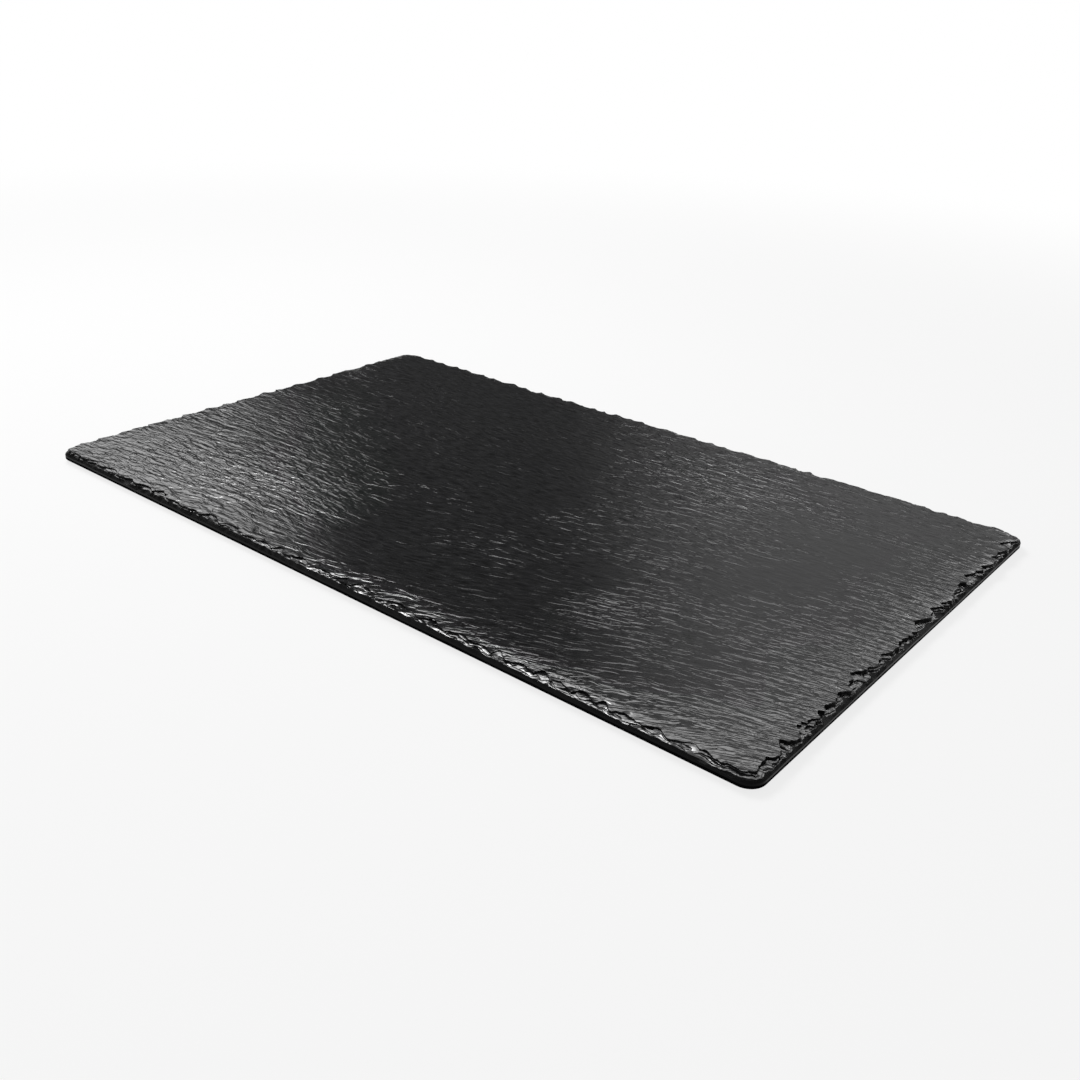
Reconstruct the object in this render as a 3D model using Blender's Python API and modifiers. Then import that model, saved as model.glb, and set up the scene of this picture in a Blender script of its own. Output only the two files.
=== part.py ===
"""Slate-look melamine serving board on four anti-slip feet.

Metres, +Z up. The feet stand on z = 0, the board's length runs along X and its width along Y.
"""

import math
import random

import bmesh
import bpy
from mathutils import Vector

MM = 0.001

# Board: a full gastronorm footprint, moulded in one piece
BOARD_LENGTH = 530 * MM
BOARD_WIDTH = 325 * MM
CORNER_RADIUS = 9 * MM
UNDERSIDE_ROUND = 1.5 * MM  # rounding between the underside and the plain side
SIDE_HEIGHT = 3.8 * MM  # underside to the top of the plain side

# Chipped edge: a steep broken face above the plain side, then flake scars that run in over the serving face
LIP_RISE = 0.7 * MM  # how far the foot of the broken face wanders up
BROKEN_HEIGHT = 1.1 * MM  # least height of the broken face
BROW_INSET_LEAST = 0.8 * MM  # top of the broken face, in from the outline
BROW_INSET_MOST = 1.8 * MM
FLAKE_DROP_LEAST = 0.5 * MM  # outer end of a scar, below the serving face
FLAKE_DROP_MOST = 1.4 * MM
FLAKE_LENGTH = 13 * MM  # usual length of a scar along the edge
FLAKE_LENGTH_SPREAD = 0.6  # a scar is up to this share shorter or longer
FLAKE_RUN_LEAST = 2.4 * MM  # how far a scar runs in from the broken face
FLAKE_RUN_MOST = 7.5 * MM
RIDGE_SHARE_LEAST = 0.25  # run on the ridge between two scars, as a share of the shorter one's
RIDGE_SHARE_MOST = 0.8
FLAKE_LEAN = 0.3  # sideways lean of a scar, as a share of how far it runs in
HEAD_STEP = 0.35 * MM  # small scarp where a scar breaks through the serving face
HEAD_RUN = 0.4 * MM
CHIP_SEED = 11

# Anti-slip feet, stuck into pockets in the underside
FOOT_RADIUS = 6.4 * MM
FOOT_TREAD_RADIUS = 5.4 * MM  # flat face that meets the table
FOOT_ROUND = 0.6 * MM
FOOT_STAND = 2 * MM  # underside of the board above the table
FOOT_SEAT = 1 * MM  # part of the foot that stands in its pocket
FOOT_INSET = 45 * MM  # foot centre to the board's outline, both ways
ADHESIVE_THICKNESS = 0.4 * MM
ADHESIVE_MARGIN = 0.5 * MM  # the adhesive disc is this much smaller than its foot
FIT_GAP = 0.3 * MM  # clearance between pieces that are bonded together

# Resolution
STATIONS_PER_FLAKE = 5
ROUND_STEPS = 2
TURNED_STEPS = 36
SHARPEST_CORNER = 1 * MM  # least corner radius of an inner line
SHARP_ANGLE = math.radians(35)
WELD = 0.001 * MM

BOARD_THICKNESS = SIDE_HEIGHT + LIP_RISE + BROKEN_HEIGHT + FLAKE_DROP_MOST
UNDERSIDE_Z = FOOT_STAND
FOOT_TOP_Z = UNDERSIDE_Z + FOOT_SEAT
ADHESIVE_Z = FOOT_TOP_Z + FIT_GAP
POCKET_ROOF_Z = ADHESIVE_Z + ADHESIVE_THICKNESS + FIT_GAP
POCKET_RADIUS = FOOT_RADIUS + FIT_GAP


def clear_scene():
    for obj in list(bpy.data.objects):
        bpy.data.objects.remove(obj, do_unlink=True)


def new_collection(name):
    collection = bpy.data.collections.new(name)
    bpy.context.scene.collection.children.link(collection)
    return collection


def new_material(name, colour, roughness):
    material = bpy.data.materials.new(name)
    material.use_nodes = True
    shader = material.node_tree.nodes["Principled BSDF"]
    shader.inputs["Base Color"].default_value = (*colour, 1)
    shader.inputs["Roughness"].default_value = roughness
    shader.inputs["Metallic"].default_value = 0
    return material


def new_object(name, shape, collection, material=None):
    """An object holding the bmesh, which is used up. Round faces are shaded smooth and edges stay sharp."""
    mesh = bpy.data.meshes.new(name)
    shape.to_mesh(mesh)
    shape.free()
    mesh.shade_smooth()
    mesh.set_sharp_from_angle(angle=SHARP_ANGLE)
    obj = bpy.data.objects.new(name, mesh)
    collection.objects.link(obj)
    if material:
        mesh.materials.append(material)
    return obj


def side_lengths():
    """Straight length of the front, right, rear and left side, between the rounded corners."""
    along_x = BOARD_LENGTH - 2 * CORNER_RADIUS
    along_y = BOARD_WIDTH - 2 * CORNER_RADIUS
    return [along_x, along_y, along_x, along_y]


def outline_length():
    return sum(side_lengths()) + 2 * math.pi * CORNER_RADIUS


def outline_point(place, inset):
    """The point at a place along the outline, counter-clockwise from the front left, moved in by inset."""
    radius = max(CORNER_RADIUS - inset, SHARPEST_CORNER)
    corner_run = CORNER_RADIUS * math.pi / 2
    place %= outline_length()
    for quarter, straight in enumerate(side_lengths()):
        if place <= straight + corner_run or quarter == 3:
            break
        place -= straight + corner_run
    sizes = (BOARD_LENGTH, BOARD_WIDTH) if quarter % 2 == 0 else (BOARD_WIDTH, BOARD_LENGTH)
    along_centre = sizes[0] / 2 - inset - radius
    out_centre = sizes[1] / 2 - inset - radius
    if place <= straight:
        along = (2 * place / straight - 1) * along_centre
        out = out_centre + radius
    else:
        turn = (place - straight) / CORNER_RADIUS
        along = along_centre + radius * math.sin(turn)
        out = out_centre + radius * math.cos(turn)
    angle = quarter * math.pi / 2
    x = along * math.cos(angle) + out * math.sin(angle)
    y = along * math.sin(angle) - out * math.cos(angle)
    return x, y


def flakes_round_the_outline(dice):
    """Flake scars end to end along the whole outline: (start, length, run, lean) of each."""
    lengths = []
    while sum(lengths) < outline_length():
        lengths.append(FLAKE_LENGTH * dice.uniform(1 - FLAKE_LENGTH_SPREAD, 1 + FLAKE_LENGTH_SPREAD))
    fit = outline_length() / sum(lengths)
    flakes = []
    start = 0
    for length in lengths:
        run = dice.uniform(FLAKE_RUN_LEAST, FLAKE_RUN_MOST)
        lean = dice.uniform(-FLAKE_LEAN, FLAKE_LEAN)
        flakes.append((start, length * fit, run, lean))
        start += length * fit
    return flakes


def edge_section(place, run, lean, bulge, dice):
    """Section of the edge at one place, from the underside up and in to the serving face.

    bulge is 0 on a ridge between two scars and 1 in the middle of one.
    """
    section = []
    for step in range(ROUND_STEPS + 1):
        turn = step / ROUND_STEPS * math.pi / 2
        inset = UNDERSIDE_ROUND * (1 - math.sin(turn))
        height = UNDERSIDE_ROUND * (1 - math.cos(turn))
        section.append((place, inset, height))
    lip = SIDE_HEIGHT + dice.uniform(0, LIP_RISE)
    brow_inset = dice.uniform(BROW_INSET_LEAST, BROW_INSET_MOST)
    brow_drop = FLAKE_DROP_LEAST + (FLAKE_DROP_MOST - FLAKE_DROP_LEAST) * bulge * dice.random()
    head_drop = min(HEAD_STEP * (1 + bulge) / 2, brow_drop)
    floor_inset = brow_inset + run
    head_inset = floor_inset + HEAD_RUN
    section.append((place, 0, lip))
    section.append((place, brow_inset, BOARD_THICKNESS - brow_drop))
    section.append((place + lean * run, floor_inset, BOARD_THICKNESS - head_drop))
    section.append((place + lean * run, head_inset, BOARD_THICKNESS))
    return [Vector((*outline_point(p, i), UNDERSIDE_Z + h)) for p, i, h in section]


def edge_sections():
    """The section at every station round the outline, several to a scar and one on each ridge."""
    dice = random.Random(CHIP_SEED)
    flakes = flakes_round_the_outline(dice)
    runs = [run for _, _, run, _ in flakes]
    ridges = []
    for index, run in enumerate(runs):
        share = dice.uniform(RIDGE_SHARE_LEAST, RIDGE_SHARE_MOST)
        ridges.append(share * min(runs[index - 1], run))
    sections = []
    for index, (start, length, run, lean) in enumerate(flakes):
        next_ridge = ridges[(index + 1) % len(flakes)]
        for step in range(STATIONS_PER_FLAKE):
            across = step / STATIONS_PER_FLAKE
            bulge = math.sin(math.pi * across)
            ridge = ridges[index] + (next_ridge - ridges[index]) * across
            depth = ridge + (run - ridge) * bulge
            sections.append(edge_section(start + across * length, depth, lean * bulge, bulge, dice))
    return sections


def board_shape():
    """A grid wrapped round the outline, one column to a section, closed by the two flat faces."""
    sections = edge_sections()
    columns = len(sections)
    rows = len(sections[0]) - 1
    shape = bmesh.new()
    bmesh.ops.create_grid(shape, x_segments=columns, y_segments=rows, size=0.5)
    for vert in shape.verts:
        column = round((vert.co.x + 0.5) * columns)
        row = round((vert.co.y + 0.5) * rows)
        vert.co = sections[column % columns][row]
    bmesh.ops.remove_doubles(shape, verts=shape.verts, dist=WELD)
    rims = [edge for edge in shape.edges if edge.is_boundary]
    bmesh.ops.edgeloop_fill(shape, edges=rims)
    bmesh.ops.recalc_face_normals(shape, faces=shape.faces)
    return shape


def foot_places():
    """Name and centre of each foot."""
    x = BOARD_LENGTH / 2 - FOOT_INSET
    y = BOARD_WIDTH / 2 - FOOT_INSET
    return {
        "front_left": (-x, -y),
        "front_right": (x, -y),
        "rear_left": (-x, y),
        "rear_right": (x, y),
    }


def disc_shape(radius, bottom, top):
    shape = bmesh.new()
    bmesh.ops.create_cone(
        shape, cap_ends=True, segments=TURNED_STEPS, radius1=radius, radius2=radius, depth=top - bottom
    )
    bmesh.ops.translate(shape, verts=shape.verts, vec=(0, 0, (top + bottom) / 2))
    return shape


def cut_foot_pockets(board, cutters):
    """Shallow round pockets in the underside, open at the bottom."""
    for place, (x, y) in foot_places().items():
        cutter = new_object("pocket_" + place, disc_shape(POCKET_RADIUS, 0, POCKET_ROOF_Z), cutters)
        cutter.location = (x, y, 0)
        cutter.hide_render = True
        cutter.display_type = "WIRE"
        cut = board.modifiers.new("pocket_" + place, "BOOLEAN")
        cut.operation = "DIFFERENCE"
        cut.object = cutter


def foot_profile():
    """Half section of a foot, from the middle of its top down its side to the middle of its tread."""
    points = [(0, FOOT_TOP_Z), (FOOT_RADIUS, FOOT_TOP_Z), (FOOT_RADIUS, UNDERSIDE_Z)]
    edge = FOOT_TREAD_RADIUS + FOOT_ROUND
    for step in range(ROUND_STEPS + 1):
        turn = step / ROUND_STEPS * math.pi / 2
        radius = edge - FOOT_ROUND * (1 - math.cos(turn))
        points.append((radius, FOOT_ROUND * (1 - math.sin(turn))))
    points.append((0, 0))
    return points


def add_foot(name, centre, collection, material):
    shape = bmesh.new()
    verts = [shape.verts.new((radius, 0, height)) for radius, height in foot_profile()]
    for upper, lower in zip(verts, verts[1:]):
        shape.edges.new((upper, lower))
    foot = new_object(name, shape, collection, material)
    foot.location = (*centre, 0)
    turned = foot.modifiers.new("turned", "SCREW")
    turned.steps = TURNED_STEPS
    turned.render_steps = TURNED_STEPS
    turned.use_merge_vertices = True
    turned.merge_threshold = WELD
    turned.use_smooth_shade = True
    return foot


def build():
    clear_scene()
    parts = new_collection("serving_board")
    cutters = new_collection("cutters")
    melamine = new_material("slate_black_melamine", (0.018, 0.018, 0.019), 0.38)
    silicone = new_material("black_silicone", (0.03, 0.03, 0.03), 0.6)
    adhesive = new_material("white_adhesive_film", (0.6, 0.6, 0.58), 0.5)

    board = new_object("board", board_shape(), parts, melamine)
    cut_foot_pockets(board, cutters)
    for place, centre in foot_places().items():
        add_foot("foot_" + place, centre, parts, silicone)
        disc = disc_shape(FOOT_RADIUS - ADHESIVE_MARGIN, ADHESIVE_Z, ADHESIVE_Z + ADHESIVE_THICKNESS)
        film = new_object("adhesive_" + place, disc, parts, adhesive)
        film.location = (*centre, 0)


build()
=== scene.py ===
# %% [markdown]
# # A slate-look melamine serving board
#
# The board is one slab of black melamine resin, pressed in a heated mould. The upper half of such a mould is
# cast from real slate, so the serving face is riven in fine ripples and the edge looks knapped by hand. Below
# the chips the mould is plain, which leaves a straight side. The slab stands on four silicone feet.
#
# The solids come first and give every size and place. The slab and its feet are then modelled again in full
# detail. The four adhesive discs, which hold the feet out of sight, keep their solids and only get a
# material.

# %% Load the solids
import math
import random

import bmesh
import bpy
import numpy as np
from mathutils import Matrix, Vector, noise


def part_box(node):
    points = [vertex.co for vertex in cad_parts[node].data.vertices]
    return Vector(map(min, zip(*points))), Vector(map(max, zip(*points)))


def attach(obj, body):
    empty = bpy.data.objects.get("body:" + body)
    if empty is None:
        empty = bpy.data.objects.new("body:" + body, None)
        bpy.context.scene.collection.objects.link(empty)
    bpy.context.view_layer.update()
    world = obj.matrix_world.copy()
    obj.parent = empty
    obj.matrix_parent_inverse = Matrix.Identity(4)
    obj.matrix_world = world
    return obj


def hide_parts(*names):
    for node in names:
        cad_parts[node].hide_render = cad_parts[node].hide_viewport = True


MM = 0.001
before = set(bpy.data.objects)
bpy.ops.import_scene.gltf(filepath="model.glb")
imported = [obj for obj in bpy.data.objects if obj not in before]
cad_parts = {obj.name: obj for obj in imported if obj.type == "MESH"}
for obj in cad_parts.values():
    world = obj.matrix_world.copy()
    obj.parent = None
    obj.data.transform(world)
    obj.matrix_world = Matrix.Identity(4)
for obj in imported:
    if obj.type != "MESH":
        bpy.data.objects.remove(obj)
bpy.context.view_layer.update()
board_low, board_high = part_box("board")
board_length = board_high.x - board_low.x
board_width = board_high.y - board_low.y
board_thickness = board_high.z - board_low.z
print("board", [round(size / MM, 2) for size in (board_length, board_width, board_thickness)], "mm")

# %% [markdown]
# ## The camera
#
# The four sides of the slab run to two vanishing points, and these give the lens and the direction of the
# view. Its distance then follows from the real size of the slab. The camera leans a little to one side.

# %% Camera
CAMERA_PLACE = Vector((428.7, -516.7, 296.6)) * MM
CAMERA_TURN = math.radians(38.49)
CAMERA_DIP = math.radians(25.70)
CAMERA_ROLL = math.radians(2.36)
CAMERA_LENS = 38.23  # mm
CAMERA_SENSOR = 36  # mm
CAMERA_NEAREST = 10 * MM

scene = bpy.context.scene


def add_thing(name, data):
    """A new object in the scene, at the origin."""
    thing = bpy.data.objects.new(name, data)
    scene.collection.objects.link(thing)
    return thing


camera = add_thing("camera", bpy.data.cameras.new("camera"))
camera.data.sensor_width = CAMERA_SENSOR
camera.data.lens = CAMERA_LENS
camera.data.clip_start = CAMERA_NEAREST
aim = Matrix.Rotation(CAMERA_TURN, 4, "Z") @ Matrix.Rotation(math.pi / 2 - CAMERA_DIP, 4, "X")
camera.matrix_world = Matrix.Translation(CAMERA_PLACE) @ aim @ Matrix.Rotation(CAMERA_ROLL, 4, "Z")
scene.camera = camera
print("camera", round(CAMERA_PLACE.length, 3), "m from the middle of the board")

# %% [markdown]
# ## The outline
#
# Everything on the edge is laid out along the outline, a rectangle with rounded corners. One function turns a
# place along it, and a distance in from it, into a point. Further in, the corners get sharper, as on a slate
# whose edge was dressed.

# %% Outline
CORNER_RADIUS = 9 * MM
EDGE_REACH = 17 * MM  # the corners of the outline are sharp from here on in
QUARTERS = 4  # a straight and the corner after it, four times

straights = [board_length - 2 * CORNER_RADIUS, board_width - 2 * CORNER_RADIUS] * 2
corner_run = CORNER_RADIUS * math.pi / 2
outline_length = sum(straights) + QUARTERS * corner_run


def outline_point(place, inset):
    """The point at a place along the outline, counter-clockwise from the front left, moved in by inset."""
    radius = CORNER_RADIUS * max(1 - inset / EDGE_REACH, 0)
    place %= outline_length
    for quarter, straight in enumerate(straights):
        if place <= straight + corner_run or quarter == QUARTERS - 1:
            break
        place -= straight + corner_run
    sizes = (board_length, board_width) if quarter % 2 == 0 else (board_width, board_length)
    along_centre = sizes[0] / 2 - inset - radius
    out_centre = sizes[1] / 2 - inset - radius
    if place <= straight:
        along = (2 * place / straight - 1) * along_centre
        out = out_centre + radius
    else:
        turn = (place - straight) / CORNER_RADIUS
        along = along_centre + radius * math.sin(turn)
        out = out_centre + radius * math.cos(turn)
    angle = quarter * math.pi / 2
    x = along * math.cos(angle) + out * math.sin(angle)
    y = along * math.sin(angle) - out * math.cos(angle)
    return x, y


print("outline", round(outline_length / MM), "mm round")

# %% [markdown]
# ## Waves along the edge
#
# Nothing on a broken edge is regular, so nearly every measure of it swings along the outline. Blender's noise
# gives such waves. It is read along a circle through the noise, because a circle comes back to its start, and
# so the waves meet where the outline closes. Each kind of wave has its own slice of the noise, so that no two
# kinds rise and fall together.

# %% Waves along the edge
WAVES = {  # length in mm, how far they swing, and the slice of the noise
    "reach": (19, 0.3, 4.2),
    "line": (13, 0.25, 40),
    "rag": (5, 0.16, 10),
    "fine rag": (2.5, 0.1, 20),
    "lip": (17, 0.9, 5.1),
    "roll": (22, 0.8, 5.8),
    "riser": (14, 1.2, 7.7),
    "bend": (9, 2, 8.8),
    "depth": (20, 0.4, 8.1),
    "jag": (4, 0.5, 6.3),
    "fine jag": (2, 0.3, 6.9),
    "facet": (6, 1, 30),
    "gutter": (10, 1.8, 9.9),
}


def waves(places, kind, layer=0):
    """Waves of one kind at places along the outline, which differ from layer to layer."""
    length, swing, cut = WAVES[kind]
    turns = 2 * math.pi * places / outline_length
    radius = outline_length / (2 * math.pi * length * MM)
    ring = [(radius * math.cos(turn), radius * math.sin(turn), cut + layer) for turn in turns]
    return swing * np.array([noise.noise(Vector(point)) for point in ring])


print("waves of", len(WAVES), "kinds")

# %% [markdown]
# ## The chipped edge
#
# A dressed slate edge steps down through the layers of the stone. Each layer ends in its own line of
# shell-shaped scars, and where two lines meet, their steps run together into one taller scarp. The edge could
# be carved with a noise texture, but then the grid would blur every step. Here each layer's line is worked
# out first, and the rows of the mesh follow these lines, so that the scarps stay sharp.
#
# The chips aren't alike all round. Along the front they open into broad ledges, and along the right side they
# are crowded and ragged. A table gives their measures at places along the outline, and what lies between is
# blended.

# %% Lines of the slate layers
LAYERS = 3
LINE_SHARES = (1, 0.62, 0.36)  # of the reach, where each layer ends, the top layer first
CROWDED = 0.35  # the same shares are drawn together by this where the layers lie close
# The place along the outline, how far in the chips go, how open their layers lie, how far the face bends down
# there, how ragged the layers end, and how far down the ledges step, in mm.
CHIPS = (
    (0, 5, 0, 0, 1, 1.5),
    (60, 6, 0, 0, 1.3, 1.5),
    (143, 6, 0, 0, 1.5, 1.2),
    (190, 6, 0.2, 0.1, 1.3, 0.9),
    (210, 6.5, 0.6, 0.15, 1, 0.8),
    (240, 7, 0.9, 0.2, 1, 0.8),
    (300, 7.5, 1, 0.2, 1, 0.9),
    (345, 8, 1, 0.3, 1, 1.1),
    (373, 8, 1, 0.4, 1, 1.5),
    (410, 7.5, 1, 0.6, 1, 1.8),
    (460, 7, 1, 0.8, 1, 1.8),
    (505, 7.5, 0.9, 0.6, 1.6, 1.8),
    (519, 8.5, 0.5, 0.4, 2.4, 2.3),
    (570, 8.5, 0.2, 0.35, 2.3, 2.3),
    (740, 8.5, 0.2, 0.35, 2.3, 2.3),
    (800, 7.5, 0.25, 0.35, 2, 2.1),
    (840, 6, 0.4, 0.4, 1.2, 1.8),
    (950, 5, 0.5, 0.5, 1, 2),
    (1150, 6, 0.8, 0.5, 1, 2),
    (1300, 5, 0.6, 0.5, 1, 2),
    (1366, 4.5, 0.5, 0.5, 1, 2),
    (1500, 6, 0.8, 0.5, 1, 2),
    (1620, 5, 0.4, 0.2, 1, 1.7),
    (1694, 5, 0, 0, 1, 1.5),
)
REACH_LEAST = 2.5 * MM
REACH_MOST = 8.9 * MM
SCAR_LENGTHS = (9 * MM, 26 * MM)
SCAR_SIZES = (1, 0.65, 0.5)  # of the scars of each layer, the top layer first
SCAR_BITES = (0.3, 1)  # how far in a scar bites, from 0 to 1
SCAR_SKEWS = (0.5, 1.1)  # below 1, a scar bites deepest before its middle
SCAR_CURVES = (0.7, 1.8)  # from blunt to pointed
SCAR_LEVELS = (-0.6, 0.6)  # of a scar's ledge, against its neighbours'
SCAR_TILTS = (-1.2, 1.2)
SCAR_LEAN = 3.5 * MM  # each layer's scars lie this far along from those of the layer above
BITE_SHARE = 0.85  # of a layer's line, what the scars make of it
LINE_MIDDLE = 0.125
LINE_LEAST = 0.15  # of the reach, where a layer comes out furthest
LINE_MOST = 1.1
LEAST_TREAD = 0.3 * MM
CHIP_SEED = 11


def scars(places, size, dice):
    """Shell-shaped scars, end to end: how far each bites in, from 0 to 1, and its level, about -1 to 1."""
    lengths = []
    while sum(lengths) < outline_length:
        lengths.append(size * dice.uniform(*SCAR_LENGTHS))
    lengths = np.array(lengths) * outline_length / sum(lengths)
    drawn = []
    for limits in (SCAR_BITES, SCAR_SKEWS, SCAR_CURVES, SCAR_LEVELS, SCAR_TILTS):
        drawn.append(np.array([dice.uniform(*limits) for _ in lengths]))
    ends = np.cumsum(lengths)
    index = np.minimum(np.searchsorted(ends, places % outline_length), len(ends) - 1)
    share = np.clip(1 - (ends[index] - places % outline_length) / lengths[index], 0, 1)
    bites, skews, curves, levels, tilts = [values[index] for values in drawn]
    return bites * np.sin(np.pi * share ** skews) ** curves, levels + tilts * (share - 0.5)


def layer_lines(places):
    """How far in each layer ends and its scars' levels, the top layer first, and the chips' measures: their
    reach, how open the layers lie, how far the face bends, and how far down the ledges step."""
    dice = random.Random(CHIP_SEED)
    chip_places, *measures = zip(*CHIPS)
    reach, spread, roll, raggedness, depth = [np.interp(places / MM, chip_places, row) for row in measures]
    reach = np.clip(MM * reach * (1 + waves(places, "reach")), REACH_LEAST, REACH_MOST)
    lines = []
    levels = []
    for layer, share in enumerate(LINE_SHARES):
        bite, level = scars(places - SCAR_LEAN * layer, SCAR_SIZES[layer], dice)
        line = BITE_SHARE * bite + LINE_MIDDLE + waves(places, "line", layer)
        rag = raggedness * (waves(places, "rag", layer) + waves(places, "fine rag", layer))
        open_share = 1 - (1 - share) * (CROWDED + (1 - CROWDED) * spread)
        line = reach * open_share * np.clip(LINE_LEAST + (1 - LINE_LEAST) * line + rag, 0, LINE_MOST)
        least = LEAST_TREAD * (LAYERS - layer)
        most = lines[-1] - LEAST_TREAD if lines else line
        lines.append(np.maximum(np.minimum(line, most), least))
        levels.append(level)
    return lines, levels, reach, spread, MM * roll, MM * depth


print(LAYERS, "layers, measured at", len(CHIPS), "places")

# %% [markdown]
# ## Sections through the chips
#
# Across the edge, a section climbs from the plain side over a steep broken face to the lowest ledge, and then
# from ledge to ledge up to the serving face. Slate flakes off in shells, so each ledge bends down towards its
# own rim, and a hollow runs along the foot of the scarp behind it. A bent ledge faces the light and shines,
# and the scarps and hollows stay dark, which gives the edge its sharp play of black and white. Bevels along
# the lines would round every ledge alike, so each row of the section is worked out from the lines instead.

# %% Sections through the chips
LIP_DROPS = (3.5 * MM, 4.2 * MM)  # from the serving face down to the top of the plain side
LIP_MIDDLE = 0.5
LIP_CLEARANCE = 0.9 * MM  # the lowest ledge stays this far above the plain side
RUN_SHARES = (0.9, 0.3)  # how far in the steep outer face goes, of the lowest layer's line, crowded and open
JAG_PLACE = 0.45  # of the outer face's run, where its jagged break lies
JAG_MIDDLE = 0.5
JAG_LIMITS = (0.1, 0.9)
RISERS = (0.3, 0.12, 0.04)  # thickness of the layers, of the chips' reach, the top layer first
RISER_MIDDLE = 0.9
RISER_LIMITS = (0.1, 2)
RISER_LEAST = 0.05 * MM
RISER_RUN = 0.18 * MM
LEVEL_SWING = 0.5 * MM  # what the scars' levels differ by
BEND = 0.6  # a ledge bends down towards its own rim by this share of its width
BEND_POWER = 1.8
BEND_LEAST = 0.45  # some ledges stay flat, and more of them bend where the face does
BEND_ROLL = 1 * MM
BEND_MOST = 1.7
SQUEEZE_MOST = 1.5  # the ledges are stretched by no more than this to reach their depth
TREAD_STEPS = 4
FACET = 0.25 * MM  # what the ledges rise and fall by along the edge
FACET_TREAD = 2.5 * MM  # less on ledges narrower than this
GUTTER = 0.8 * MM  # the hollow along the foot of a scarp
GUTTER_MIDDLE = 0.4
GUTTER_POWER = 2.5
ROLL_LIMITS = (0.2, 2)
ROLL_WIDTH = 6.5 * MM  # the face bends down over this width behind its rim
ROLL_POWER = 2.5
BLEND_ROWS = 10
BLEND_POWER = 1.3  # above 1, the rows lie closer near the chips


def ledge_drops(places, widths, levels, reach, spread, roll, depth):
    """How far down the face's rim lies, and the inner side and the rim of each ledge, the top ledge first."""
    face_rim = roll * np.clip(1 + waves(places, "roll"), *ROLL_LIMITS)
    rim = face_rim
    inner_drops = []
    rim_drops = []
    for layer, thickness in enumerate(RISERS):
        swing = np.clip(RISER_MIDDLE + waves(places, "riser", layer), *RISER_LIMITS)
        riser = thickness * reach * swing + LEVEL_SWING * levels[layer] * spread
        inner = rim + np.maximum(riser, RISER_LEAST)
        bent = np.clip(BEND_LEAST + roll / BEND_ROLL + waves(places, "bend", layer), 0, BEND_MOST)
        rim = inner + BEND * np.sqrt(spread) * bent * widths[layer]
        inner_drops.append(inner)
        rim_drops.append(rim)
    squeeze = np.minimum(depth / rim, SQUEEZE_MOST)
    return squeeze * face_rim, squeeze * np.array(inner_drops), squeeze * np.array(rim_drops)


def chip_sections(places):
    """For each row of the chipped edge, its insets and its drops below the serving face at every place."""
    lines, levels, reach, spread, roll, depth = layer_lines(places)
    lip_share = np.clip(LIP_MIDDLE + waves(places, "lip"), 0, 1)
    lip = LIP_DROPS[0] + (LIP_DROPS[1] - LIP_DROPS[0]) * lip_share
    depth = np.minimum(depth * (1 + waves(places, "depth")), lip - LIP_CLEARANCE)
    run = (RUN_SHARES[0] + (RUN_SHARES[1] - RUN_SHARES[0]) * spread) * lines[-1]
    outer_insets = [line + RISER_RUN for line in lines[1:]] + [run]
    widths = [line - outer for line, outer in zip(lines, outer_insets)]
    face_rim, inner_drops, rim_drops = ledge_drops(places, widths, levels, reach, spread, roll, depth)

    lowest = rim_drops[-1]
    jag = np.clip(JAG_MIDDLE + waves(places, "jag") + waves(places, "fine jag"), *JAG_LIMITS)
    insets = [0 * places, JAG_PLACE * run, run]
    drops = [lip, lowest + (lip - lowest) * jag, lowest]
    for layer in reversed(range(LAYERS)):
        fall = rim_drops[layer] - inner_drops[layer]
        broad = np.minimum(widths[layer] / FACET_TREAD, 1)
        hollow = np.clip(GUTTER_MIDDLE + waves(places, "gutter", layer), 0, 1)
        gutter = GUTTER * np.sqrt(spread) * broad * hollow
        for step in range(1, TREAD_STEPS + 1):
            share = step / TREAD_STEPS
            facet = FACET * spread * broad * waves(places, "facet", TREAD_STEPS * layer + step)
            bend = fall * (1 - share) ** BEND_POWER + facet * (1 - share)
            insets.append(outer_insets[layer] + widths[layer] * share)
            drops.append(inner_drops[layer] + bend + gutter * share ** GUTTER_POWER)
        insets.append(lines[layer] + RISER_RUN)
        drops.append(rim_drops[layer - 1] if layer else face_rim)
    last = insets[-1]
    for row in range(1, BLEND_ROWS + 1):
        inset = last + (EDGE_REACH - last) * (row / BLEND_ROWS) ** BLEND_POWER
        insets.append(inset)
        drops.append(face_rim * np.maximum(1 - (inset - last) / ROLL_WIDTH, 0) ** ROLL_POWER)
    return np.array(insets), np.maximum(drops, 0)


print("ledges of", TREAD_STEPS, "rows on", LAYERS, "layers, then", BLEND_ROWS, "rows up to the face")

# %% [markdown]
# ## The riven face
#
# Slate splits in layers that are never quite flat. The ripples run along the board, 4 to 6 mm apart, and sway
# together. Towards the front right the whole grain turns. The ripples are weaker in some patches and stronger
# in others, two patches are pebbled as well, and a few dents cross the grain.
#
# A displacement modifier could do part of this, but it can't bend the grain or fade it by patches. So a
# function gives the depth of the face at any point, and the grids of the edge and of the face both ask it.

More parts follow.
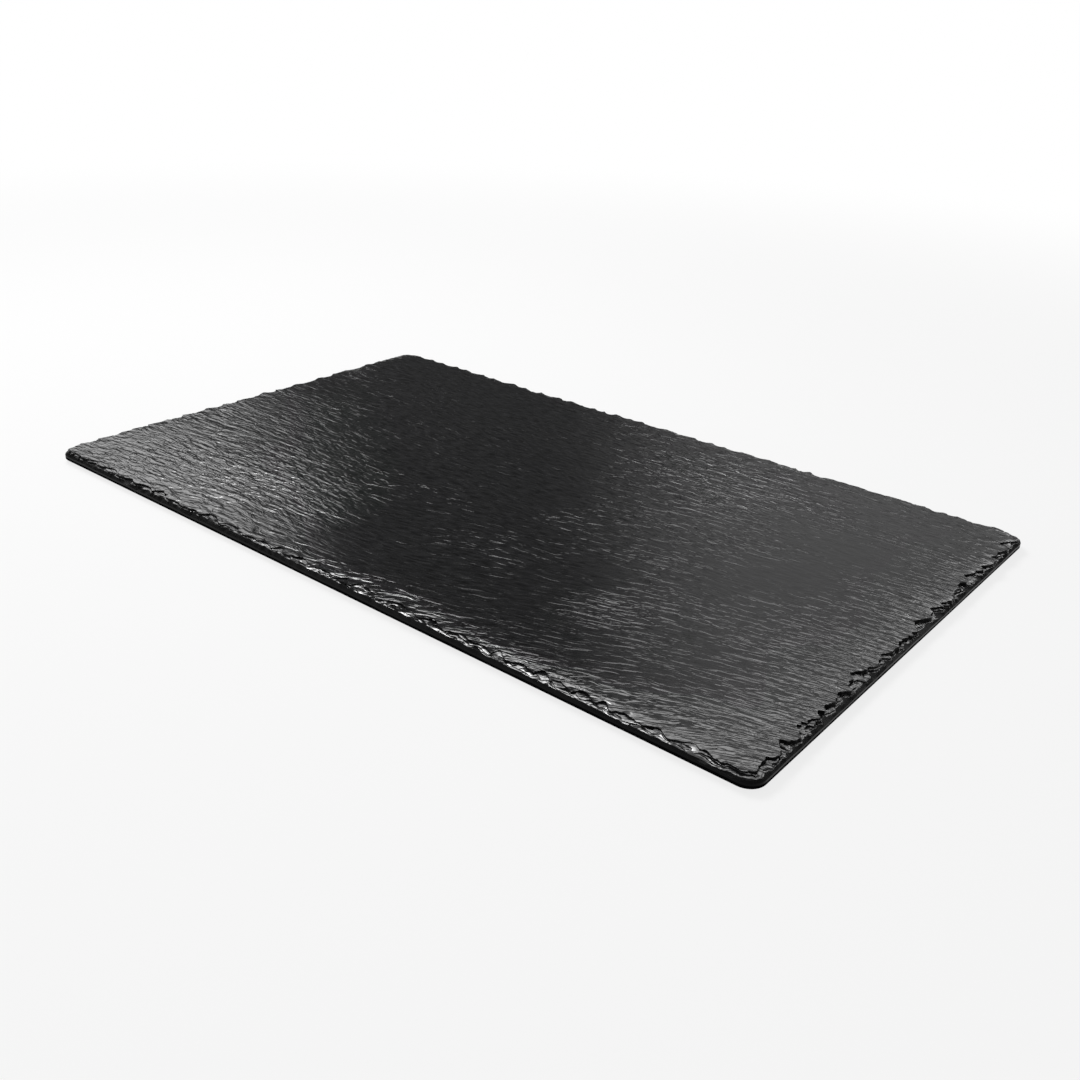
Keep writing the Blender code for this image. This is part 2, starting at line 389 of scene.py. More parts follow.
# %% Riven face
LUMPS = {  # length and width of the noise's lumps in mm, and the slice of the noise
    "wander": (80, 40, 0.3),
    "sway": (17, 8, 1.7),
    "ripple": (12, 2.1, 2.1),
    "crest": (12, 3.6, 3.9),
    "swell": (110, 60, 5.5),
    "pebble": (4, 3.4, 7.7),
    "strength": (42, 28, 9.4),
}
RIPPLE_DEPTH = 0.19 * MM
CREST_DEPTH = 0.13 * MM
CREST_WIDTH = 0.2  # of the noise's height
SWELL_DEPTH = 0.2 * MM
PEBBLE_DEPTH = 0.12 * MM
FACE_MARGIN = 0.5 * MM  # the middle level of the face, below its highest ripple
WANDER = 6 * MM  # how far the grain wanders to the side, and how far it sways on the way
SWAY = 1.4 * MM
GRAIN_TURN = math.tan(math.radians(23))  # the grain turns this much towards the front right
TURN_SOFTNESS = 40 * MM
TURN_START = 100 * MM
TURN_RUN = 240 * MM
RIPPLE_SWING = 0.4
RIPPLE_LEAST = 0.25
RIPPLE_PATCHES = (  # x, y, half length and half width in mm, and how much weaker or stronger the ripples are
    (-170, -100, 130, 60, 0.9),
    (-150, -125, 80, 30, 0.7),
    (-120, -20, 70, 35, -0.4),
    (-120, 110, 110, 60, -0.5),
    (-40, 45, 60, 40, -0.4),
    (10, 0, 60, 50, -0.35),
    (195, 60, 45, 95, -0.75),
    (-10, -90, 85, 55, -0.75),
    (85, -60, 40, 60, -0.35),
    (-225, 140, 60, 30, -0.5),
    (15, -156, 60, 8, 0.6),
    (160, -156, 90, 8, 0.6),
    (255, 0, 9, 150, 0.9),
    (155, -75, 100, 70, -0.55),
    (70, -124, 150, 24, -0.7),
    (90, 118, 70, 45, 0.7),
    (-240, 40, 35, 25, -0.4),
    (-80, 0, 35, 25, -0.3),
    (5, 80, 35, 25, -0.4),
    (60, 40, 40, 25, -0.25),
    (-200, -75, 40, 20, -0.45),
    (-170, -40, 50, 20, -0.35),
    (-45, -100, 30, 40, -0.25),
    (40, -90, 35, 35, 0.4),
    (130, -85, 25, 30, 0.45),
    (0, -5, 30, 20, -0.25),
)
PEBBLED_PATCHES = (
    (105, -95, 45, 38, 1.0),
    (60, -30, 40, 25, 0.5),
)
DENTS = (  # x, y, half length and half width in mm, turn in degrees, depth in mm
    (-133, 67, 14, 1.6, 38, 0.22),
    (-166, 43, 9, 1.6, 36, 0.2),
    (-167, 110, 6, 1.4, 42, 0.15),
    (-121, 33, 5, 1.2, 48, 0.12),
    (24, -105, 10, 1.2, 8, 0.25),
    (3, -129, 9, 3.0, 5, 0.15),
    (28, -70, 4, 1.0, 65, 0.15),
    (26, 58, 3, 1.2, 60, 0.15),
    (241.4, -114.2, 1.8, 0.9, 70, 0.5),
    (243.7, -123.6, 1.6, 0.8, -20, 0.5),
)
DENT_REACH = 3  # a dent is felt as far out as this many times its half length


def lumps(x, y, kind):
    """Noise of one kind at a point, from about -1 to 1."""
    length, width, cut = LUMPS[kind]
    return noise.noise(Vector((x / (length * MM), y / (width * MM), cut)))


def patches_at(x, y, patches):
    """Sum of the soft-edged patches at a point."""
    total = 0
    for centre_x, centre_y, half_length, half_width, share in patches:
        across = ((x / MM - centre_x) / half_length) ** 2 + ((y / MM - centre_y) / half_width) ** 2
        total += share * math.exp(-across)
    return total


def dent_at(x, y):
    """Sum of the dents at a point."""
    total = 0
    for centre_x, centre_y, half_length, half_width, turn, depth in DENTS:
        along_x = x / MM - centre_x
        along_y = y / MM - centre_y
        if max(abs(along_x), abs(along_y)) > DENT_REACH * half_length:
            continue
        cosine = math.cos(math.radians(turn))
        sine = math.sin(math.radians(turn))
        along = (along_x * cosine + along_y * sine) / half_length
        across = (along_y * cosine - along_x * sine) / half_width
        total += depth * MM * math.exp(-along * along - across * across)
    return total


def ripple_share(x, y):
    """How strong the ripples are at a point, 1 being their usual depth."""
    share = 1 + patches_at(x, y, RIPPLE_PATCHES) + RIPPLE_SWING * lumps(x, y, "strength")
    return max(share, RIPPLE_LEAST)


def across_grain(x, y):
    """Where a point lies across the grain, which wanders and turns towards the front right."""
    right = (x + math.hypot(x, TURN_SOFTNESS)) / 2
    front = min(max((TURN_START - y) / TURN_RUN, 0), 1)
    return y + WANDER * lumps(x, y, "wander") + SWAY * lumps(x, y, "sway") - GRAIN_TURN * right * front


def riven_depth(x, y):
    """How far the riven face lies below its highest point."""
    across = across_grain(x, y)
    ripple = RIPPLE_DEPTH * lumps(x, across, "ripple")
    crest = CREST_DEPTH * math.exp(-((lumps(x, across, "crest") / CREST_WIDTH) ** 2))
    pebbles = PEBBLE_DEPTH * patches_at(x, y, PEBBLED_PATCHES) * lumps(x, y, "pebble")
    lift = ripple_share(x, y) * (ripple + crest) + SWELL_DEPTH * lumps(x, y, "swell") + pebbles
    return max(FACE_MARGIN - lift + dent_at(x, y), 0)


print("riven depth in the middle", round(riven_depth(0, 0) / MM, 3), "mm")

# %% [markdown]
# ## The slab: its edge
#
# The edge is a grid wrapped round the outline, one column to every millimetre or so, which runs from the
# underside up the side and in over the chips. A plain grid has its rows and columns in order, so each point
# finds its place by its row and column.
#
# The slab has five finishes, and every face gets the number of its own: the riven skin, the matt breaks
# across the layers, whose colour is painted shade, the plain underside, the satin strip of the side, and a
# dull line along its foot, which is painted shade as well: with no gloss it stays black, as the contact
# shadow would.

# %% Edge grid
UNDERSIDE_ROUND = 0.8 * MM
ROUND_STEPS = 4
SIDE_STEPS = 4
SHADOW_LINE_ROWS = ROUND_STEPS + 2  # painted shade along the foot of the side: rows with no gloss, black as the contact shadow
LONG_COLUMNS = 448
SHORT_COLUMNS = 340
CORNER_COLUMNS = 10
GRID_HALF = 0.5  # a new grid reaches this far from its middle
CREST_ROW = 2  # the row along the crest of the steep outer face, where the ripples have come in
LIP_GUARD = 0.2 * MM  # nothing on the chips falls nearer to the plain side than this
TOUCH = 0.001 * MM  # points nearer than this are one
RIVEN_SLOT, BROKEN_SLOT, UNDERSIDE_SLOT, SIDE_SLOT, SHADOW_LINE_SLOT = range(5)
BROKEN_ANGLE = math.radians(33)  # steeper faces are broken across the layers

quarter_start = 0
places = []
for straight, straight_columns in zip(straights, (LONG_COLUMNS, SHORT_COLUMNS) * 2):
    places.append(quarter_start + straight * np.arange(straight_columns) / straight_columns)
    quarter_start += straight
    places.append(quarter_start + corner_run * np.arange(CORNER_COLUMNS) / CORNER_COLUMNS)
    quarter_start += corner_run
places = np.concatenate(places)
columns = len(places)
insets, drops = chip_sections(places)
print("edge grid", columns, "columns, deepest chip", round(drops.max() / MM, 2), "mm,",
      "reaching in", round(insets[-BLEND_ROWS - 1].max() / MM, 2), "mm")


def edge_section(column):
    """Points of the edge at one column, from the underside up the side and in over the chips."""
    section = []
    for step in range(ROUND_STEPS + 1):
        turn = step / ROUND_STEPS * math.pi / 2
        inset = UNDERSIDE_ROUND * (1 - math.sin(turn))
        height = board_low.z + UNDERSIDE_ROUND * (1 - math.cos(turn))
        section.append((*outline_point(places[column], inset), height))
    lip = board_high.z - drops[0, column]
    side_foot = board_low.z + UNDERSIDE_ROUND
    for step in range(1, SIDE_STEPS):
        height = side_foot + (lip - side_foot) * step / SIDE_STEPS
        section.append((*outline_point(places[column], 0), height))
    for row, inset in enumerate(insets[:, column]):
        x, y = outline_point(places[column], inset)
        fall = drops[row, column] + riven_depth(x, y) * min(row / CREST_ROW, 1)
        lowest = drops[0, column] - (LIP_GUARD if row else 0)
        section.append((x, y, board_high.z - min(fall, lowest)))
    return section


slab = bmesh.new()
ripples = slab.verts.layers.float.new("ripples")
along_grain = slab.verts.layers.float_vector.new("grain")
sections = [edge_section(column) for column in range(columns)]
rows = len(sections[0]) - 1
lip_row = ROUND_STEPS + SIDE_STEPS
edge_verts = bmesh.ops.create_grid(slab, x_segments=columns, y_segments=rows, size=GRID_HALF)["verts"]
face_rows = [(face, (face.calc_center_median().y + GRID_HALF) * rows) for face in slab.faces]
for vert in edge_verts:
    column = round((vert.co.x + GRID_HALF) * columns) % columns
    row = round((vert.co.y + GRID_HALF) * rows)
    vert.co = sections[column][row]
bmesh.ops.remove_doubles(slab, verts=edge_verts, dist=TOUCH)
for face, row in face_rows:
    face.normal_update()
    steep = abs(face.normal.z) < math.cos(BROKEN_ANGLE)
    # The lowest rows get the finish with no gloss, as painted shade along the foot of the side.
    if row < SHADOW_LINE_ROWS:
        face.material_index = SHADOW_LINE_SLOT
    elif row < lip_row:
        face.material_index = SIDE_SLOT
    elif row < lip_row + CREST_ROW or steep:
        face.material_index = BROKEN_SLOT
    else:
        face.material_index = RIVEN_SLOT
print("edge", len(slab.faces), "faces")

# %% [markdown]
# ## The slab: its face
#
# The rest of the face is a second grid, denser across the ripples than along them, where a coarse one is
# enough. Filling the gap between the two grids would leave long slivers that catch the light. So the rim of
# the face is cut until it has as many points as the edge has columns, and each point is joined to its own.

# %% Face grid
COLUMNS_PER_STEP = 4  # columns of the edge to one step of the face, along the board
BAND = 1 * MM  # between the two grids

edge_loops = [edge for edge in slab.edges if edge.is_boundary]
middle_height = (board_low.z + board_high.z) / 2
face_rim = [edge for edge in edge_loops if edge.verts[0].co.z > middle_height]
underside_rim = [edge for edge in edge_loops if edge.verts[0].co.z < middle_height]
face_length = board_length - 2 * (EDGE_REACH + BAND)
face_width = board_width - 2 * (EDGE_REACH + BAND)
face_size = Matrix.Diagonal((face_length, face_width, 1, 1))
sheet = bmesh.ops.create_grid(slab, x_segments=LONG_COLUMNS // COLUMNS_PER_STEP, y_segments=SHORT_COLUMNS,
                              size=GRID_HALF, matrix=face_size)["verts"]
sheet_rim = {edge for vert in sheet for edge in vert.link_edges if edge.is_boundary}
long_rim = [edge for edge in sheet_rim if abs(edge.verts[0].co.y - edge.verts[1].co.y) < TOUCH]
bmesh.ops.subdivide_edges(slab, edges=long_rim, cuts=COLUMNS_PER_STEP - 1)
sheet = [vert for vert in slab.verts if vert.co.z == 0]
for vert in sheet:
    vert.co.z = board_high.z - riven_depth(vert.co.x, vert.co.y)
sheet_rim = {edge for vert in sheet for edge in vert.link_edges if edge.is_boundary}
print("loops to join", len(face_rim), len(sheet_rim))
bmesh.ops.bridge_loops(slab, edges=face_rim + list(sheet_rim))
print("face", len(slab.faces), "faces so far")

# %% [markdown]
# ## The slab: its underside
#
# The feet sit in four shallow round pockets, so that they can't be pushed off sideways. The pockets are drawn
# as circles, the flat underside is filled round them, and the circles are then pushed up into the slab. A
# Boolean would cut them too, but it could upset the numbered faces of the edge.

# %% Underside
FOOT_INSET = 45 * MM
POCKET_RADIUS = 6.7 * MM
POCKET_DEPTH = 2 * MM
POCKET_STEPS = 48
UP = Vector((0, 0, 1))

foot_x = board_length / 2 - FOOT_INSET
foot_y = board_width / 2 - FOOT_INSET
pocket_rims = []
for side_x in (-1, 1):
    for side_y in (-1, 1):
        place = Matrix.Translation((side_x * foot_x, side_y * foot_y, board_low.z))
        circle = bmesh.ops.create_circle(slab, segments=POCKET_STEPS, radius=POCKET_RADIUS, matrix=place)
        pocket_rims.append(list({edge for vert in circle["verts"] for edge in vert.link_edges}))
upper_faces = set(slab.faces)
rim_edges = underside_rim + [edge for rim in pocket_rims for edge in rim]
bmesh.ops.triangle_fill(slab, use_beauty=True, normal=-UP, edges=rim_edges)
for rim in pocket_rims:
    wall = bmesh.ops.extrude_edge_only(slab, edges=rim)["geom"]
    roof = [item for item in wall if isinstance(item, bmesh.types.BMVert)]
    bmesh.ops.translate(slab, verts=roof, vec=UP * POCKET_DEPTH)
    roof_edges = [item for item in wall if isinstance(item, bmesh.types.BMEdge) and item.is_boundary]
    bmesh.ops.edgeloop_fill(slab, edges=roof_edges)
for face in set(slab.faces) - upper_faces:
    face.material_index = UNDERSIDE_SLOT
bmesh.ops.recalc_face_normals(slab, faces=slab.faces)
open_edges = [edge for edge in slab.edges if not edge.is_manifold]
print("slab", sum(len(face.verts) - 2 for face in slab.faces), "triangles,", len(open_edges), "open edges")

# %% [markdown]
# ## The slab: shading
#
# All faces are shaded smooth, apart from the scarps, where the edges are marked sharp, and so are the borders
# between two finishes. Each point also carries two values for the material: how strong the ripples are there,
# and where the point lies along and across the grain. The fine ripples of the material then bend with those
# of the mesh.

# %% Shading
SHARP_ANGLE = math.radians(32)
LEDGE_FALL = 0.8 * MM  # below the face, where the ledges start
LEDGE_RIPPLES = -0.1  # how much weaker the fine ripples are there


def shade_smooth(shape):
    """Smooth faces, with sharp edges where the shape turns hard or its finish changes."""
    for face in shape.faces:
        face.smooth = True
    for edge in shape.edges:
        finishes = {face.material_index for face in edge.link_faces}
        edge.smooth = edge.calc_face_angle(0) < SHARP_ANGLE and len(finishes) == 1


def add_object(name, shape):
    """A new object of this shape."""
    mesh = bpy.data.meshes.new(name)
    shape.to_mesh(mesh)
    shape.free()
    return add_thing(name, mesh)


def add_piece(name, shape, node):
    """A finished piece that rides on the only body and stands for this solid."""
    piece = add_object(name, shape)
    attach(piece, "root")
    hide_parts(node)
    return piece


shade_smooth(slab)
for vert in slab.verts:
    fall = (board_high.z - vert.co.z - LEDGE_FALL) / LEDGE_FALL
    vert[ripples] = ripple_share(vert.co.x, vert.co.y) + LEDGE_RIPPLES * min(max(fall, 0), 1)
    vert[along_grain] = Vector((vert.co.x, across_grain(vert.co.x, vert.co.y), vert.co.z))
slab_piece = add_piece("riven_slab", slab, "board")
print("sharp edges", sum(edge.use_edge_sharp for edge in slab_piece.data.edges))

# %% [markdown]
# ## The feet
#
# Each foot is a short silicone button with a rounded tread. It is turned, so half its section is drawn as a
# chain of points and spun round its own axis. A shallow dish in the tread helps a soft foot to grip. A
# cylinder with bevelled edges would come close, but it has no dish and no taper.

# %% Feet
FOOT_NAMES = [f"{row_name}_{side_name}" for row_name in ("front", "rear") for side_name in ("left", "right")]
FOOT_STEPS = 48
FOOT_ROUND = 0.6 * MM
FOOT_ROUND_STEPS = 4
FOOT_TAPER = 1 * MM
FOOT_DISH_RADIUS = 3.6 * MM
FOOT_DISH = 0.25 * MM
DISH_STEPS = 4


def foot_section(low, high):
    """Half the section of a foot, from the middle of its tread out and up to the middle of its top."""
    middle = (low + high) / 2
    radius = (high.x - low.x) / 2
    tread_radius = radius - FOOT_TAPER
    points = []
    for step in range(DISH_STEPS + 1):
        share = step / DISH_STEPS
        points.append((share * FOOT_DISH_RADIUS, low.z + FOOT_DISH * (1 - share ** 2)))
    for step in range(FOOT_ROUND_STEPS + 1):
        turn = step / FOOT_ROUND_STEPS * math.pi / 2
        out = tread_radius - FOOT_ROUND * (1 - math.sin(turn))
        points.append((out, low.z + FOOT_ROUND * (1 - math.cos(turn))))
    points.append((radius, board_low.z))
    points.append((radius, high.z))
    points.append((0, high.z))
    return middle, [Vector((middle.x + out, middle.y, height)) for out, height in points]


feet = []
for foot_name in FOOT_NAMES:
    node = f"foot_{foot_name}"
    middle, section = foot_section(*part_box(node))
    foot = bmesh.new()
    chain = [foot.verts.new(point) for point in section]
    for start, end in zip(chain, chain[1:]):
        foot.edges.new((start, end))
    bmesh.ops.spin(foot, geom=foot.verts[:] + foot.edges[:], cent=middle, axis=UP, angle=2 * math.pi,
                   steps=FOOT_STEPS, use_merge=True)
    bmesh.ops.remove_doubles(foot, verts=foot.verts, dist=TOUCH)
    bmesh.ops.recalc_face_normals(foot, faces=foot.faces)
    shade_smooth(foot)
    feet.append(add_piece(f"silicone_{node}", foot, node))
print("feet", len(feet), "of", len(feet[0].data.polygons), "faces")

# %% [markdown]
# ## Materials
#
# A few small helpers are enough for every finish: one reads a colour as it is written on a colour chart, one
# adds a node, sets its values and links its inputs, and one starts a material. Nothing real is one flat
# colour, so there is noise in soft clouds as well, and two shades that blend in them.

# %% Helpers for materials
MIX_DARK = 6  # a Mix node's inputs and its output for colours, which only their places tell apart
MIX_LIGHT = 7
MIX_COLOUR = 2


def chart_colour(code):
    """A colour chart's hex value, turned from sRGB to the linear values that Blender works in."""
    channels = [int(code[place:place + 2], 16) / 255 for place in (1, 3, 5)]
    linear = [((c + 0.055) / 1.055) ** 2.4 if c > 0.04045 else c / 12.92 for c in channels]
    return (*linear, 1)


def add_node(tree, kind, settings=None, values=None, links=None):
    """Adds a node, whose kind is named without ShaderNode in front. Sets its settings and its inputs' values,
    and links its inputs to outputs of other nodes, or to the first output of a whole node."""
    node = tree.nodes.new("ShaderNode" + kind)
    for name, setting in (settings or {}).items():
        setattr(node, name, setting)
    for name, value in (values or {}).items():
        node.inputs[name].default_value = value
    for name, source in (links or {}).items():
        output = source.outputs[0] if isinstance(source, bpy.types.Node) else source
        tree.links.new(output, node.inputs[name])
    return node


def new_material(name):
    """An empty material, and its tree for the nodes."""
    material = bpy.data.materials.new(name)
    material.use_nodes = True
    material.node_tree.nodes.clear()
    return material, material.node_tree


def soft_clouds(tree, size, detail):
    """Noise in clouds of this size."""
    coordinates = add_node(tree, "TexCoord").outputs["Object"]
    return add_node(tree, "TexNoise", values={"Scale": 1 / size, "Detail": detail},
                    links={"Vector": coordinates}).outputs["Fac"]


def clouded_colour(tree, clouds, dark, light):
    """A colour that drifts between two shades as the clouds do."""
    shades = {MIX_DARK: chart_colour(dark), MIX_LIGHT: chart_colour(light)}
    mix = add_node(tree, "Mix", {"data_type": "RGBA"}, values=shades, links={0: clouds})
    return mix.outputs[MIX_COLOUR]


print("white on the chart", chart_colour("#ffffff"))

# %% [markdown]
# ### Riven melamine
#
# Melamine resin filled with black pigment, pressed against a mould cast from slate. It is hard and glossy, so
# it mirrors the studio. The mesh carries the broad ripples. What is finer than that lies in the material as
# bump: thin steps, where one leaf of slate ends on the next, and the fine ripples between them. Both follow
# the grain that the points carry, and both are stronger and weaker where the mesh's ripples are. The colour
# follows the fine ripples as well: it is painted darker in their hollows and lighter on their crests, as
# shade and highlight.

# %% Riven melamine
MELAMINE_INDEX = 1.6
# The riven colour is painted: darker in the hollows of the fine ripples as shade, lighter on their crests as
# highlight.
RIVEN_HOLLOW_SHADE = "#080809"
RIVEN_CREST_HIGHLIGHT = "#282829"
GLOSS_LIMITS = (0.06, 0.11)
CLOUD_SIZE = 30 * MM
CLOUD_DETAIL = 4
GRAIN_SIZE = 0.8 * MM  # the pigment's grain, drawn coarser than it is so that it shows
GRAIN_DETAIL = 3
GRAIN_DEPTH = 0.06 * MM
GRAIN_STRENGTH = 0.3
STEP_LENGTH = 13 * MM
STEP_WIDTH = 4.5 * MM
STEP_COUNT = 7
STEP_RISE = 0.09 * MM
STEP_TREAD = 0.45  # of a step, the share that lies flat
STEP_BEND = 0.6
FINE_LENGTH = 8 * MM
FINE_WIDTH = 1.6 * MM
FINE_DEPTH = 0.2 * MM
FINE_BEND = 0.4
FINE_LIMITS = (0.3, 0.7)  # the noise's low and high, where the colour is darkest and lightest


def along_the_grain(tree, length, width, bend):
    """Noise whose lumps lie along the grain, of this length and width."""
    grain = add_node(tree, "Attribute", {"attribute_name": "grain"}).outputs["Vector"]
    scale = (1 / length, 1 / width, 1 / length)
    drawn = add_node(tree, "Mapping", values={"Scale": scale}, links={"Vector": grain})
    return add_node(tree, "TexNoise", values={"Scale": 1, "Detail": 1, "Distortion": bend},
                    links={"Vector": drawn}).outputs["Fac"]


# Pressed against cast slate: a polished skin with crisp streaks of light along the grain. Its colour is
# painted shade in the hollows of the fine ripples and painted highlight on their crests.
riven, tree = new_material("riven_black_melamine")
fine = along_the_grain(tree, FINE_LENGTH, FINE_WIDTH, FINE_BEND)
shade = add_node(tree, "MapRange", values={"From Min": FINE_LIMITS[0], "From Max": FINE_LIMITS[1]},
                 links={"Value": fine})
colour = clouded_colour(tree, shade, RIVEN_HOLLOW_SHADE, RIVEN_CREST_HIGHLIGHT)

# The gloss drifts in clouds, as wiping leaves it.
gloss = add_node(tree, "MapRange", values={"To Min": GLOSS_LIMITS[0], "To Max": GLOSS_LIMITS[1]},
                 links={"Value": soft_clouds(tree, CLOUD_SIZE, CLOUD_DETAIL)})

# Leaves of slate end in thin steps: whole levels of a noise, with a short slope from one to the next.
streaks = along_the_grain(tree, STEP_LENGTH, STEP_WIDTH, STEP_BEND)
levels = add_node(tree, "Math", {"operation": "MULTIPLY"}, values={1: STEP_COUNT}, links={0: streaks})
whole = add_node(tree, "Math", {"operation": "FLOOR"}, links={0: levels})
part = add_node(tree, "Math", {"operation": "FRACT"}, links={0: levels})
rise = add_node(tree, "MapRange", {"interpolation_type": "SMOOTHSTEP"},
                values={"From Min": STEP_TREAD, "From Max": 1}, links={"Value": part})
steps = add_node(tree, "Math", {"operation": "ADD"}, links={0: whole, 1: rise})

# The bumps are laid one over the other, the coarsest first.
ripple_strength = add_node(tree, "Attribute", {"attribute_name": "ripples"}).outputs["Fac"]
streak_bump = add_node(tree, "Bump", values={"Distance": STEP_RISE},
                       links={"Height": steps, "Strength": ripple_strength})
fine_bump = add_node(tree, "Bump", values={"Distance": FINE_DEPTH},
                     links={"Height": fine, "Strength": ripple_strength, "Normal": streak_bump})
grains = soft_clouds(tree, GRAIN_SIZE, GRAIN_DETAIL)
grain_bump = add_node(tree, "Bump", values={"Strength": GRAIN_STRENGTH, "Distance": GRAIN_DEPTH},
                      links={"Height": grains, "Normal": fine_bump})
shader = add_node(tree, "BsdfPrincipled", values={"IOR": MELAMINE_INDEX},
                  links={"Base Color": colour, "Roughness": gloss, "Normal": grain_bump})
add_node(tree, "OutputMaterial", links={"Surface": shader})
print("riven melamine", len(tree.nodes), "nodes")

# %% [markdown]
# ### Broken melamine
#
# Where the slate of the mould broke across its layers, the cast has a rough, crumbly face. It scatters what
# light reaches it. It is the same resin, so it keeps the same index, but its sheen is lower and its
# roughness higher. Its colour is painted shade: blacker than the skin's, as the shade that falls in the
# scarps, and blacker still between its lumps. So it looks black and matt beside the shining skin.

# %% Broken melamine
# The broken faces' colour is painted shade: blacker than the skin's, and blacker still between the grit's
# lumps.
BROKEN_SHADE_DARK = "#030303"
BROKEN_SHADE_LIGHT = "#0a0a0b"
BROKEN_GRIT = 2 * MM
BROKEN_DEPTH = 0.2 * MM
BROKEN_STRENGTH = 0.6
BROKEN_SHEEN = 0.08
BROKEN_ROUGHNESS = 0.6

# Cast from a torn face: lumps about the size of sand grains, with painted shade in the hollows between them.
broken, tree = new_material("broken_melamine_painted_shade")
grit = soft_clouds(tree, BROKEN_GRIT, CLOUD_DETAIL)
colour = clouded_colour(tree, grit, BROKEN_SHADE_DARK, BROKEN_SHADE_LIGHT)
bump = add_node(tree, "Bump", values={"Strength": BROKEN_STRENGTH, "Distance": BROKEN_DEPTH},
                links={"Height": grit})
broken_values = {"IOR": MELAMINE_INDEX, "Specular IOR Level": BROKEN_SHEEN, "Roughness": BROKEN_ROUGHNESS}
shader = add_node(tree, "BsdfPrincipled", values=broken_values, links={"Base Color": colour, "Normal": bump})
add_node(tree, "OutputMaterial", links={"Surface": shader})
print("broken melamine", len(tree.nodes), "nodes")

# %% [markdown]
# ### Plain melamine
#
# The lower half of the mould is bare steel. It leaves a matt underside and a strip of satin along the side.
# A thin line along the foot of the side doesn't shine at all: it is painted shade, the black line that the
# contact shadow gives there. All three are the same black with a soft drift in it, so one loop makes them.

# %% Plain melamine
PLAIN_DARK = "#080809"
PLAIN_LIGHT = "#0d0d0e"
PLAIN_FINISHES = (  # name, sheen, and the limits of its roughness
    ("matt_black_melamine", 0.3, (0.5, 0.6)),
    ("satin_black_melamine", 0.04, (0.24, 0.34)),
    ("shadow_line_black_melamine", 0, (0.5, 0.6)),
)

# Pressed against steel: an even black, matt below and softly shining along the side. The line along its
# foot has no gloss at all, as painted shade.
plain_materials = []
for name, sheen, limits in PLAIN_FINISHES:
    material, tree = new_material(name)
    clouds = soft_clouds(tree, CLOUD_SIZE, CLOUD_DETAIL)
    colour = clouded_colour(tree, clouds, PLAIN_DARK, PLAIN_LIGHT)
    gloss = add_node(tree, "MapRange", values={"To Min": limits[0], "To Max": limits[1]},
                     links={"Value": clouds})
    values = {"IOR": MELAMINE_INDEX, "Specular IOR Level": sheen}
    shader = add_node(tree, "BsdfPrincipled", values=values, links={"Base Color": colour, "Roughness": gloss})
    add_node(tree, "OutputMaterial", links={"Surface": shader})
    plain_materials.append(material)
for material in (riven, broken, *plain_materials):
    slab_piece.data.materials.append(material)
print("finishes of the slab", [material.name for material in slab_piece.data.materials])

# %% [markdown]
# ### Silicone and adhesive
#
# The feet are moulded from black silicone rubber. It is softer and greyer than the board, and it has hardly
# any gloss, because its mould was sand-blasted. A disc of clear acrylic adhesive holds each foot in its
# pocket. Where it shows at all it is milky, because tiny bubbles are shut in it. Both are made alike, from a
# colour that drifts in clouds, so one loop makes them.

# %% Silicone and adhesive
SOFT_DETAIL = 3
SOFT_FINISHES = (  # name, dark and light colour, size of the clouds, index and roughness
    # Moulded against a blasted surface: a soft grey bloom with no clear reflection.
    ("black_silicone", "#1c1c1d", "#29292a", 3 * MM, 1.41, 0.55),
    # Coated as a wet film and dried: milky, a little uneven, and half glossy.
    ("acrylic_adhesive_film", "#c9c6ba", "#dedbd0", 2 * MM, 1.47, 0.4),
)

soft_materials = []
for name, dark, light, size, index, roughness in SOFT_FINISHES:
    material, tree = new_material(name)
    colour = clouded_colour(tree, soft_clouds(tree, size, SOFT_DETAIL), dark, light)
    shader = add_node(tree, "BsdfPrincipled", links={"Base Color": colour},
                      values={"IOR": index, "Roughness": roughness})
    add_node(tree, "OutputMaterial", links={"Surface": shader})
    soft_materials.append(material)
silicone, film = soft_materials
for foot in feet:
    foot.data.materials.append(silicone)
for foot_name in FOOT_NAMES:
    for slot in bpy.data.objects[f"adhesive_{foot_name}"].material_slots:
        slot.material = film
print("silicone on", len(feet), "feet and adhesive film on", len(FOOT_NAMES), "discs")

# %% [markdown]
# ## The studio
#
# The board is nearly a black mirror, so what stands round it is half of its look. An even white world would
# turn it grey. Here the world only gives a dim, even light, and the rest of the studio is built as for a
# photograph: a white floor, a backdrop, a tent of dark cloth with bright panels, and two softboxes.

# %% World
ROOM_LIGHT = 0.3
WHITE = (1, 1, 1, 1)

scene.view_settings.view_transform = "Standard"
world = bpy.data.worlds.new("studio")
scene.world = world
world.use_nodes = True
tree = world.node_tree
tree.nodes.clear()
room = add_node(tree, "Background", values={"Color": WHITE, "Strength": ROOM_LIGHT})
add_node(tree, "OutputWorld", links={"Surface": room})
print("room light", ROOM_LIGHT)

# %% [markdown]
# ### The floor
#
# The floor is painted nearly white. To look white in the picture it would need more light than the board can
# bear, so it glows a little, but only for the camera and for mirrored and transmitted rays. It lights
# nothing. The paint underneath still takes the shadow of the board, and further away the glow takes over.

# %% Floor
FLOOR_SIZE = 40  # m
FLOOR_NEAR = 0.4  # where the glow begins to take over, and where it is full
FLOOR_FAR = 1.6
FLOOR_GLOW_NEAR = 0.8
FLOOR_PAINT = "#e8e8e8"


def seen_share(tree):
    """1 where a ray comes from the camera, a reflection or a clear body, and 0 where it only lights."""
    rays = add_node(tree, "LightPath").outputs
    seen = add_node(tree, "Math", {"operation": "MAXIMUM"},
                    links={0: rays["Is Camera Ray"], 1: rays["Is Glossy Ray"]})
    return add_node(tree, "Math", {"operation": "MAXIMUM"},
                    links={0: seen, 1: rays["Is Transmission Ray"]})


